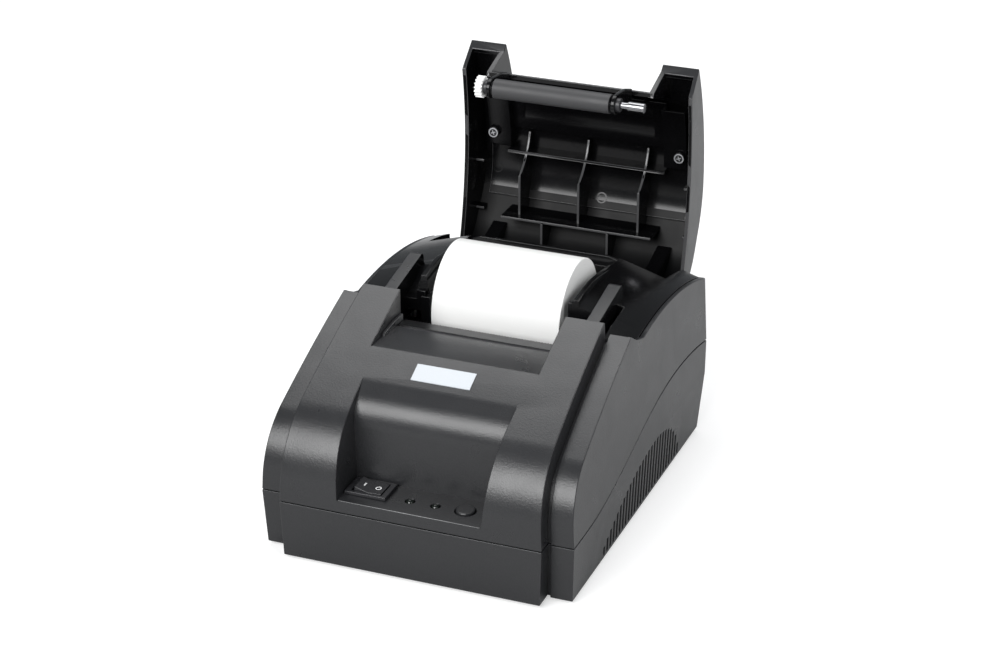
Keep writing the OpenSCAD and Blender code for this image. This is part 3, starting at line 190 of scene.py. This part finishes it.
def plastic(name, low, high, rough, scale, depth, uneven=0.25, specular=0.5):
    """A moulded plastic, mixed from two tones by the grain that also shapes its surface."""
    material = bpy.data.materials.new(name)
    material.use_nodes = True
    tree = material.node_tree
    shader = tree.nodes["Principled BSDF"]
    shader.inputs["Specular IOR Level"].default_value = specular
    surface = tree.nodes.new("ShaderNodeGroup")
    surface.node_tree = grain
    surface.inputs["Scale"].default_value = scale
    surface.inputs["Depth"].default_value = depth
    surface.inputs["Unevenness"].default_value = uneven
    surface.inputs["Roughness"].default_value = rough
    tones = tree.nodes.new("ShaderNodeMix")
    tones.data_type = "RGBA"
    tones.inputs["A"].default_value = (*low, 1)
    tones.inputs["B"].default_value = (*high, 1)
    tree.links.new(surface.outputs["Tone"], tones.inputs["Factor"])
    tree.links.new(tones.outputs["Result"], shader.inputs["Base Color"])
    tree.links.new(surface.outputs["Gloss"], shader.inputs["Roughness"])
    tree.links.new(surface.outputs["Normal"], shader.inputs["Normal"])
    return material


crease = math.radians(32)
crease_beside_radius = math.radians(50)


def edges_broken(bm, width):
    """Bevels the convex edges. One whose new faces would fold over is left sharp."""
    rounds_of_holding = 9
    folded_below = 0.25
    smallest_area = 1e-12
    hold_reach = 1.6 * width
    sharp = [e.index for e in bm.edges if e.is_manifold and e.is_convex and e.calc_face_angle(0) > crease]
    held = set()
    for _ in range(rounds_of_holding):
        trial = bm.copy()
        trial.edges.ensure_lookup_table()
        before = trial.faces.layers.float_vector.new("before")
        for face in trial.faces:
            face[before] = face.normal
        made = bmesh.ops.bevel(
            trial,
            geom=[trial.edges[i] for i in sharp if i not in held],
            offset=width,
            offset_type="OFFSET",
            segments=2,
            profile=0.5,
            affect="EDGES",
            clamp_overlap=False,
            material=-1,
        )
        trial.normal_update()
        folded = [
            corner.co.copy()
            for face in trial.faces
            if face.normal.dot(face[before]) < folded_below and face.calc_area() > smallest_area
            for corner in face.verts
        ]
        if not folded:
            break
        near = kdtree.KDTree(len(folded))
        for i, corner in enumerate(folded):
            near.insert(corner, i)
        near.balance()
        free = [i for i in sharp if i not in held]
        more = {i for i in free if min(near.find(v.co)[2] for v in bm.edges[i].verts) < hold_reach}
        if not more:
            break
        held |= more
    radii = set(made["faces"])
    for edge in trial.edges:
        beside = any(face in radii for face in edge.link_faces)
        edge.smooth = edge.calc_face_angle(0) < (crease_beside_radius if beside else crease)
    return trial


def finished_piece(bm, name, body, material):
    """Makes a piece of the mesh, with its finish and the body it rides on."""
    mesh = bpy.data.meshes.new(name)
    bm.to_mesh(mesh)
    bm.free()
    mesh.materials.append(material)
    piece = bpy.data.objects.new(name, mesh)
    scene.collection.objects.link(piece)
    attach(piece, body)
    return piece


def dressed(node, body, material, width=0.0):
    """A merged copy of a CAD node in its finish, with its edges broken by this width."""
    weld = 0.1 * mm
    flat = math.radians(0.6)
    bm = bmesh.new()
    bm.from_mesh(nodes[node].data)
    bmesh.ops.remove_doubles(bm, verts=bm.verts, dist=weld)
    bmesh.ops.dissolve_degenerate(bm, dist=weld, edges=bm.edges)
    bmesh.ops.dissolve_limit(
        bm, angle_limit=flat, verts=bm.verts, edges=bm.edges, use_dissolve_boundaries=False
    )
    bm.normal_update()
    bm.edges.index_update()
    bm.edges.ensure_lookup_table()
    if width:
        bm = edges_broken(bm, width)
    else:
        for edge in bm.edges:
            edge.smooth = edge.calc_face_angle(0) < crease
    for face in bm.faces:
        face.smooth = True
    piece = finished_piece(bm, node + "_skin", body, material)
    level = piece.modifiers.new("level", "WEIGHTED_NORMAL")
    level.mode = "FACE_AREA"
    level.keep_sharp = True
    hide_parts(node)
    return piece


charcoal_abs = plastic(
    "charcoal_abs",
    low=(0.0135, 0.0138, 0.015),
    high=(0.024, 0.0245, 0.0265),
    rough=0.3,
    scale=1300,
    depth=0.06 * mm,
)
dressed("lower_case", "base", charcoal_abs, 0.3 * mm)

# Rubber feet: four round pads of soft black rubber, moulded dull so that they grip the
# counter, and stuck under the tray.
foot_rubber = plastic(
    "foot_rubber", low=(0.01, 0.01, 0.01), high=(0.02, 0.02, 0.02), rough=0.7, scale=1800, depth=0.02 * mm
)
dressed("rubber_feet", "base", foot_rubber, 0.3 * mm)

# Circuit boards: the main board lies on posts in the tray, and the narrow one under the
# control panel. Both are glass fibre with a green solder mask.
solder_mask = plastic(
    "solder_mask", low=(0.012, 0.07, 0.03), high=(0.02, 0.10, 0.045), rough=0.3, scale=600, depth=0.004 * mm
)
for node in ("main_board", "panel_board"):
    dressed(node, "base", solder_mask)

# Parts on and near the boards: moulded epoxy packages, the paper's optical sensor and the
# small switch that feels the lid.
chip_body = plastic(
    "chip_body", low=(0.012, 0.012, 0.014), high=(0.02, 0.02, 0.022), rough=0.5, scale=3200, depth=0.02 * mm
)
for node in ("board_parts", "paper_sensor", "lid_switch"):
    dressed(node, "base", chip_body, 0.2 * mm)

# Sockets in the back wall: the power inlet and the drawer port are black nylon, and the
# data port is a shell of folded sheet steel. All three are soldered to the main board.
satin_black = plastic(
    "satin_black",
    low=(0.014, 0.014, 0.016),
    high=(0.022, 0.022, 0.025),
    rough=0.38,
    scale=1500,
    depth=0.006 * mm,
)
for node in ("power_inlet", "drawer_port"):
    dressed(node, "base", satin_black, 0.2 * mm)


def metal(name, grey, rough, brushed):
    """A bare metal with the run of the tool in its gloss, drawn out along X by brushed."""
    longest_draw = 0.97
    shinier = 0.08
    duller = 0.12
    material = bpy.data.materials.new(name)
    material.use_nodes = True
    tree = material.node_tree
    shader = tree.nodes["Principled BSDF"]
    shader.inputs["Base Color"].default_value = (*grey, 1)
    shader.inputs["Metallic"].default_value = 1
    place = shader_node(tree, "TexCoord")
    run = shader_node(tree, "Mapping", Scale=(1 - longest_draw * brushed, 1, 1))
    lines = shader_node(tree, "TexNoise", Scale=2600, Detail=2)
    gloss = shader_node(tree, "MapRange", To_Min=rough - shinier, To_Max=rough + duller)
    tree.links.new(place.outputs["Object"], run.inputs["Vector"])
    tree.links.new(run.outputs["Vector"], lines.inputs["Vector"])
    tree.links.new(lines.outputs["Fac"], gloss.inputs["Value"])
    tree.links.new(gloss.outputs["Result"], shader.inputs["Roughness"])
    return material


plain_steel = metal("plain_steel", (0.60, 0.61, 0.63), rough=0.3, brushed=1.0)
dressed("usb_port", "base", plain_steel, 0.2 * mm)

# Printing mechanism: a frame folded from sheet steel carries the stepper motor, the gear
# studs and the two springs that press the head against the platen. The lid's hinge pins,
# pressed into the seat frame's brackets, are steel too.
for node in ("mechanism_frame", "head_springs", "gear_studs", "stepper_motor", "hinge_pins"):
    dressed(node, "base", plain_steel)
dressed("motor_shaft", "pinion", plain_steel)

# Print head: a glazed ceramic strip bonded to an extruded alloy heat sink, with a flat
# film ribbon down to the main board.
ceramic = plastic(
    "glazed_ceramic", low=(0.55, 0.55, 0.50), high=(0.66, 0.66, 0.60), rough=0.2, scale=2000, depth=0.002 * mm
)
dressed("print_head", "base", ceramic)
alloy = metal("extruded_alloy", (0.72, 0.73, 0.74), rough=0.35, brushed=1.0)
dressed("heat_sink", "base", alloy)
film = plastic(
    "film_ribbon", low=(0.30, 0.16, 0.05), high=(0.42, 0.24, 0.08), rough=0.3, scale=800, depth=0.002 * mm
)
dressed("head_ribbon", "base", film)

# Gear train: three white acetal gears lead from the motor to the platen. The first is
# pressed on the motor's shaft, and the other two run on the frame's studs.
acetal = plastic(
    "white_acetal",
    low=(0.80, 0.80, 0.79),
    high=(0.88, 0.88, 0.87),
    rough=0.35,
    scale=1200,
    depth=0.003 * mm,
    uneven=0.2,
)
for node, body in (("motor_pinion", "pinion"), ("idler_gear", "idler"), ("drive_gear", "drive")):
    dressed(node, body, acetal)

# Upper case: the sloping front with its raised centre, the side wings and the control
# recess, in the tray's grained ABS. Four steel screws from below hold it to the tray.
dressed("upper_case", "base", charcoal_abs, 0.4 * mm)
dressed("case_screws", "base", plain_steel)

# Panel lip: a painted highlight along the sharp front edge of the control panel, where that
# edge catches the light. It is made as a thin round bead of pale glossy grey along that edge.
lip_radius = 0.3 * mm
lip_length = 60.4 * mm
lip_place = Vector((0, -106.18, 31.28)) * mm
# Pale glossy grey of the bead: a painted highlight, not the case's own colour.
painted_highlight_abs = plastic(
    "painted_highlight_lip",
    low=(0.22, 0.22, 0.225),
    high=(0.34, 0.34, 0.345),
    rough=0.25,
    scale=900,
    depth=0.003 * mm,
)
bm = bmesh.new()
bmesh.ops.create_cone(
    bm, cap_ends=True, segments=16, radius1=lip_radius, radius2=lip_radius, depth=lip_length
)
bmesh.ops.transform(
    bm, matrix=Matrix.Translation(lip_place) @ Matrix.Rotation(math.radians(90), 4, "Y"), verts=bm.verts
)
for face in bm.faces:
    face.smooth = len(face.verts) == 4
finished_piece(bm, "panel_lip", "base", painted_highlight_abs)

# Power rocker: a black nylon rocker that tilts on two trunnions in its snapped-in housing.
# Its two signs are printed white, the bar on the left half and the ring on the right.
dressed("rocker_housing", "base", satin_black, 0.3 * mm)
dressed("power_rocker", "rocker", satin_black, 0.3 * mm)
mark_gap = 0.01 * mm


def raised_mark(bm, name, body, material, place, top):
    """Thickens a flat outline up to top, just clear of what it lies on, and places it."""
    bmesh.ops.translate(bm, verts=bm.verts, vec=(0, 0, mark_gap))
    raised = bmesh.ops.extrude_face_region(bm, geom=bm.faces[:])
    upper = [part for part in raised["geom"] if isinstance(part, bmesh.types.BMVert)]
    bmesh.ops.translate(bm, verts=upper, vec=(0, 0, top - mark_gap))
    bmesh.ops.transform(bm, matrix=place, verts=bm.verts)
    bmesh.ops.recalc_face_normals(bm, faces=bm.faces)
    finished_piece(bm, name, body, material)


def ring_mark(name, body, material, place, outer, inner, top):
    bm = bmesh.new()
    for radius in (outer, inner):
        bmesh.ops.create_circle(bm, segments=36, radius=radius)
    bmesh.ops.bridge_loops(bm, edges=bm.edges)
    raised_mark(bm, name, body, material, place, top)


def bar_mark(name, body, material, place, width, length, top):
    bm = bmesh.new()
    bmesh.ops.create_grid(bm, x_segments=1, y_segments=1, size=0.5)
    bmesh.ops.scale(bm, verts=bm.verts, vec=(width, length, 1))
    raised_mark(bm, name, body, material, place, top)


rocker_pivot = Vector((-21.4, -93.75, 29.9)) * mm
rocker_tilt = math.radians(7)
rocker_half = 5.8 * mm
rocker_rise = 1.0 * mm
sign_height = 3.6 * mm
sign_top = 0.06 * mm
mark_ink = plastic(
    "mark_ink", low=(0.75, 0.75, 0.75), high=(0.85, 0.85, 0.85), rough=0.45, scale=1500, depth=0.003 * mm
)
rocker_place = Matrix.Translation(rocker_pivot) @ Matrix.Rotation(rocker_tilt, 4, "Y")
rocker_slope = math.atan2(rocker_rise, rocker_half)
sign_places = [
    rocker_place
    @ Matrix.Translation((side * rocker_half / 2, 0, sign_height))
    @ Matrix.Rotation(-side * rocker_slope, 4, "Y")
    for side in (-1, 1)
]
bar_mark("mark_on", "rocker", mark_ink, sign_places[0], 0.6 * mm, 2.2 * mm, sign_top)
ring_mark("mark_off", "rocker", mark_ink, sign_places[1], 1.3 * mm, 0.8 * mm, sign_top)

# Feed button and lamps: the button is a loose cap of case ABS over its switch. The lamps
# are dark resin domes, soldered to the panel board and lit only when the printer runs.
dressed("feed_button", "button", charcoal_abs, 0.3 * mm)
lamp_resin = plastic(
    "lamp_resin",
    low=(0.004, 0.006, 0.005),
    high=(0.01, 0.013, 0.011),
    rough=0.1,
    scale=500,
    depth=0.002 * mm,
)
dressed("indicator_lamps", "base", lamp_resin)

# Label plate: a bare thin plate with a pale satin coating. It is stuck on the deck, above
# the control recess.
coated_plate = plastic(
    "coated_plate",
    low=(0.48, 0.51, 0.54),
    high=(0.52, 0.55, 0.58),
    rough=0.25,
    scale=1500,
    depth=0.002 * mm,
    uneven=0.2,
)
dressed("label_plate", "base", coated_plate)

# Seat frame: one smooth black moulding with the paper bin, the lid's seat and the hinge
# brackets, set into the upper case. The tops of its two raised strips carry the grain.
smooth_black = plastic(
    "smooth_black",
    low=(0.002, 0.002, 0.0023),
    high=(0.004, 0.004, 0.0045),
    rough=0.17,
    scale=900,
    depth=0.003 * mm,
    uneven=0.4,
    specular=0.3,
)
strip_side = (41.9 * mm, 47.8 * mm)
strip_run = (-27 * mm, 12 * mm)
strip_up = 0.6
seat = dressed("seat_frame", "base", smooth_black, 0.3 * mm)
seat.data.materials.append(charcoal_abs)
for face in seat.data.polygons:
    on_strip = strip_side[0] < abs(face.center.x) < strip_side[1]
    if on_strip and strip_run[0] < face.center.y < strip_run[1] and face.normal.z > strip_up:
        face.material_index = 1

# Paper exit: a ramp of case ABS over the print head, with the tear bar behind its top
# edge. The bar is a strip of dark burnished steel with fine teeth.
dressed("exit_ramp", "base", charcoal_abs, 0.3 * mm)
burnished_steel = metal("burnished_steel", (0.05, 0.05, 0.052), rough=0.34, brushed=1.0)
bar_mesh = nodes["tear_bar"].data
bar_mesh.materials.clear()
bar_mesh.materials.append(burnished_steel)


# Paper roll: white thermal paper wound on a pale card tube, loose in the bin. The layers
# show as fine rings on its ends.
def wound_paper():
    """White paper whose tone and surface follow the distance from the roll's axis."""
    layer_scale = 2600
    low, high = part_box("paper_roll")
    axis_y = (low.y + high.y) / 2
    axis_z = (low.z + high.z) / 2
    material = bpy.data.materials.new("wound_paper")
    material.use_nodes = True
    tree = material.node_tree
    shader = tree.nodes["Principled BSDF"]
    shader.inputs["Roughness"].default_value = 0.55
    shader.inputs["Specular IOR Level"].default_value = 0.35
    place = shader_node(tree, "TexCoord")
    centre = shader_node(tree, "Mapping", Location=(0, -axis_y, -axis_z))
    across = shader_node(tree, "VectorMath", "MULTIPLY")
    across.inputs[1].default_value = (0, 1, 1)
    radius = shader_node(tree, "VectorMath", "LENGTH")
    layers = tree.nodes.new("ShaderNodeTexNoise")
    layers.noise_dimensions = "1D"
    layers.inputs["Scale"].default_value = layer_scale
    layers.inputs["Detail"].default_value = 4
    tones = tree.nodes.new("ShaderNodeMix")
    tones.data_type = "RGBA"
    tones.inputs["A"].default_value = (0.74, 0.74, 0.73, 1)
    tones.inputs["B"].default_value = (0.90, 0.90, 0.89, 1)
    bump = shader_node(tree, "Bump", Distance=0.03 * mm)
    tree.links.new(place.outputs["Object"], centre.inputs["Vector"])
    tree.links.new(centre.outputs["Vector"], across.inputs[0])
    tree.links.new(across.outputs["Vector"], radius.inputs[0])
    tree.links.new(radius.outputs["Value"], layers.inputs["W"])
    tree.links.new(layers.outputs["Fac"], tones.inputs["Factor"])
    tree.links.new(tones.outputs["Result"], shader.inputs["Base Color"])
    tree.links.new(layers.outputs["Fac"], bump.inputs["Height"])
    tree.links.new(bump.outputs["Normal"], shader.inputs["Normal"])
    return material


dressed("paper_roll", "roll", wound_paper(), 0.4 * mm)
core_card = plastic(
    "core_tube", low=(0.55, 0.54, 0.52), high=(0.66, 0.65, 0.63), rough=0.5, scale=900, depth=0.01 * mm
)
dressed("roll_core", "roll", core_card, 0.3 * mm)

# Lid: one moulding that swings on the hinge pins. Outside it carries the case's grain.
# Inside it is smooth black, with a paler grey on the narrow rib edges as painted highlight and a black that
# mirrors less on the wall below the ledge as painted shade.
side_wall_x = 52.5 * mm
front_end_z = 150 * mm
rear_edge_z = 63.5 * mm
ledge_z = 87 * mm
rib_edge_width = 0.9 * mm
rib_edge_bend = math.radians(15)
back_facing = 0.2
side_facing = 0.6
end_facing = 0.6
under_facing = -0.3
inner_facing = -0.3
rib_edge_facing = -0.5
# Paler grey for the narrow rib and rim edges inside the lid: a painted highlight.
painted_highlight_edge_abs = plastic(
    "painted_highlight_edge",
    low=(0.05, 0.05, 0.052),
    high=(0.08, 0.08, 0.082),
    rough=0.2,
    scale=900,
    depth=0.003 * mm,
)
# Black that mirrors less, for the lid's inner wall below the ledge: painted shade.
painted_shade_black = plastic(
    "painted_shade_black",
    low=(0.002, 0.002, 0.0022),
    high=(0.004, 0.004, 0.0044),
    rough=0.4,
    scale=900,
    depth=0.01 * mm,
    uneven=0.4,
    specular=0.12,
)
lid = dressed("lid_shell", "lid", smooth_black, 0.3 * mm)
for material in (charcoal_abs, painted_highlight_edge_abs, painted_shade_black):
    lid.data.materials.append(material)


def is_outside(face, middle):
    """Whether the face belongs to the lid's grained outside, with the lid stood open."""
    turned_away = face.normal.x * middle.x > 0 and abs(face.normal.x) > side_facing
    side = turned_away and abs(middle.x) > side_wall_x
    front = face.normal.z > end_facing and middle.z > front_end_z
    rear = face.normal.z < under_facing and middle.z < rear_edge_z
    return face.normal.y > back_facing or side or front or rear


def is_rib_edge(face):
    """Whether the face is a narrow one that looks out of the lid, bent from the next."""
    width = 2 * face.calc_area() / sum(edge.calc_length() for edge in face.edges)
    bend = max(face.edges, key=lambda edge: edge.calc_length()).calc_face_angle(0)
    return face.normal.y < rib_edge_facing and width < rib_edge_width and bend > rib_edge_bend


bm = bmesh.new()
bm.from_mesh(lid.data)
for face in bm.faces:
    middle = face.calc_center_median()
    if is_outside(face, middle):
        face.material_index = 1
    # Narrow edges that look out of the lid: painted highlight.
    elif is_rib_edge(face):
        face.material_index = 2
    # Inner wall below the ledge: painted shade.
    elif face.normal.y < inner_facing and middle.z < ledge_z:
        face.material_index = 3
bm.to_mesh(lid.data)
bm.free()

# Ejector marks: the faint rings that the mould's pins left on the lid's inner wall, in the
# same smooth ABS. Each has its place on the wall, and the way the wall faces there.
ejector_pins = (
    ((-6.95, 103.89, 111.13), (0, -0.996, -0.085)),
    ((21.99, 103.9, 110.97), (0, -0.996, -0.085)),
    ((-43.86, 101.57, 95.07), (0, -0.987, 0.158)),
    ((6.82, 99.71, 88.23), (0, -0.932, 0.364)),
    ((21.76, 102.04, 102.08), (0, -1, -0.014)),
)
for i, (at, outward) in enumerate(ejector_pins):
    turn = Vector(outward).to_track_quat("Z", "Y").to_matrix().to_4x4()
    place = Matrix.Translation(Vector(at) * mm) @ turn
    ring_mark(
        f"ejector_mark_{i}", "lid", smooth_black, place, 2.5 * mm, 1.9 * mm, 0.12 * mm
    )

# Platen carrier: a smooth black bracket inside the lid, held by two burnished screws. It
# holds the platen in two black bushes. On each dark screw head a thin ring of bright steel is a
# painted highlight of its rim, and a flat cross of the same steel stands for its recess.
dressed("platen_carrier", "lid", smooth_black, 0.3 * mm)
dressed("carrier_screws", "lid", burnished_steel, 0.4 * mm)
screw_x = 43.7 * mm
screw_y = 95.18 * mm
screw_z = 113.9 * mm
rim_top = 0.06 * mm
cross_turn = 20
for side in (-1, 1):
    head = Matrix.Translation((side * screw_x, screw_y, screw_z)) @ Matrix.Rotation(math.radians(90), 4, "X")
    # A ring of bright steel on the dark head: a painted highlight of the rim.
    ring_mark(f"screw_rim_highlight_{side}", "lid", plain_steel, head, 2.2 * mm, 1.7 * mm, rim_top)
    for turn, top in ((0, 0.05 * mm), (90, 0.059 * mm)):
        arm = head @ Matrix.Rotation(math.radians(turn + cross_turn), 4, "Z")
        bar_mark(f"screw_cross_{side}_{turn}", "lid", plain_steel, arm, 2.2 * mm, 0.4 * mm, top)
dressed("platen_bushes", "lid", satin_black, 0.2 * mm)

# Platen: grey rubber, ground round on a steel shaft. The white gear at its left end drops
# into mesh with the drive gear when the lid shuts.
ground_rubber = plastic(
    "ground_rubber",
    low=(0.034, 0.034, 0.036),
    high=(0.048, 0.048, 0.05),
    rough=0.55,
    scale=2500,
    depth=0.01 * mm,
)
dressed("platen_roller", "platen", ground_rubber, 0.3 * mm)
ground_shaft = metal("ground_shaft", (0.28, 0.28, 0.29), rough=0.2, brushed=0.5)
dressed("platen_shaft", "platen", ground_shaft, 0.2 * mm)
dressed("platen_gear", "platen", acetal, 0.1 * mm)
